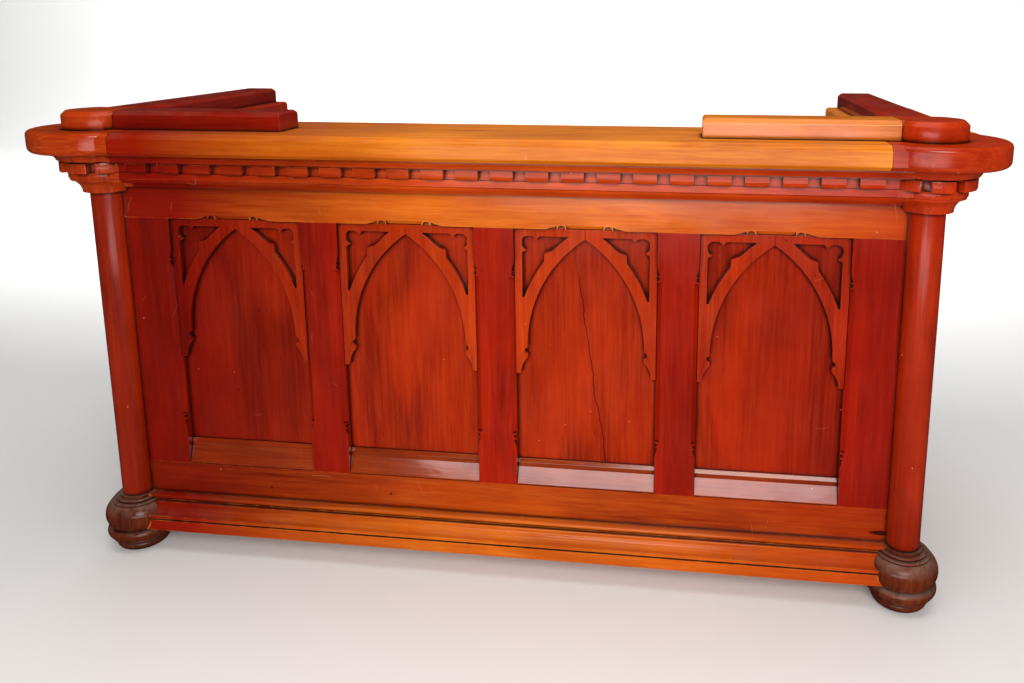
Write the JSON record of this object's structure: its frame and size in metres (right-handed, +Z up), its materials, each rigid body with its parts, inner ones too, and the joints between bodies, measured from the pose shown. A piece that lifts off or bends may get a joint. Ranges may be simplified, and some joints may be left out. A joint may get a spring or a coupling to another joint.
{
  "type": "communion table",
  "caption": "Panelled wooden communion table: traceried Gothic bays between turned corner columns, dentilled cornice and a U-shaped capping with raised rails.",
  "frame": {"origin": "bottom centre of the table's bounding box, on the floor", "axes": "+X to the right along the long front, +Y from the panelled front towards the open back, +Z up"},
  "size_m": [1.86, 0.735, 0.946],
  "materials": {
    "golden_shellac_wood": "golden orange shellac polish",
    "amber_shellac_wood": "amber red shellac polish",
    "red_shellac_wood": "deep red-brown shellac polish",
    "dusty_dark_wood": "dark polish dulled by dust",
    "plain_softwood": "unpolished inner timber",
    "screw_steel": "plain steel"
  },
  "bodies": {
    "root": {"front_top_rail": "golden_shellac_wood", "front_bottom_rail": "amber_shellac_wood", "front_left_stile": "red_shellac_wood", "front_right_stile": "red_shellac_wood", "front_muntins": "red_shellac_wood", "front_panel_1": "red_shellac_wood", "front_panel_2": "red_shellac_wood", "front_panel_3": "red_shellac_wood", "front_panel_4": "red_shellac_wood", "front_tracery_1": "amber_shellac_wood", "front_tracery_2": "amber_shellac_wood", "front_tracery_3": "amber_shellac_wood", "front_tracery_4": "amber_shellac_wood", "front_sills": "amber_shellac_wood", "left_side_top_rail": "golden_shellac_wood", "left_side_bottom_rail": "amber_shellac_wood", "left_side_front_stile": "red_shellac_wood", "left_side_rear_stile": "red_shellac_wood", "left_side_panel": "red_shellac_wood", "left_side_tracery": "amber_shellac_wood", "right_side_top_rail": "golden_shellac_wood", "right_side_bottom_rail": "amber_shellac_wood", "right_side_front_stile": "red_shellac_wood", "right_side_rear_stile": "red_shellac_wood", "right_side_panel": "red_shellac_wood", "right_side_tracery": "amber_shellac_wood", "side_sills": "amber_shellac_wood", "left_column_base": "dusty_dark_wood", "left_column_shaft": "red_shellac_wood", "left_column_capital": "amber_shellac_wood", "right_column_base": "dusty_dark_wood", "right_column_shaft": "red_shellac_wood", "right_column_capital": "amber_shellac_wood", "front_plinth": "golden_shellac_wood", "left_plinth": "golden_shellac_wood", "right_plinth": "golden_shellac_wood", "front_cornice": "amber_shellac_wood", "left_cornice": "amber_shellac_wood", "right_cornice": "amber_shellac_wood", "front_dentils": "amber_shellac_wood", "left_dentils": "amber_shellac_wood", "right_dentils": "amber_shellac_wood", "front_cap_board": "golden_shellac_wood", "left_cap_board": "golden_shellac_wood", "right_cap_board": "golden_shellac_wood", "left_corner_cap": "amber_shellac_wood", "right_corner_cap": "amber_shellac_wood", "left_front_raised_rail": "red_shellac_wood", "right_front_raised_rail": "golden_shellac_wood", "left_side_raised_rail": "red_shellac_wood", "right_side_raised_rail": "red_shellac_wood", "left_raised_corner": "amber_shellac_wood", "right_raised_corner": "amber_shellac_wood", "corner_posts": "plain_softwood", "rear_posts": "plain_softwood", "back_rails": "plain_softwood", "inner_board": "plain_softwood", "board_bearers": "plain_softwood", "bearer_screws": "screw_steel", "glue_blocks": "plain_softwood"}
  },
  "joints": []
}
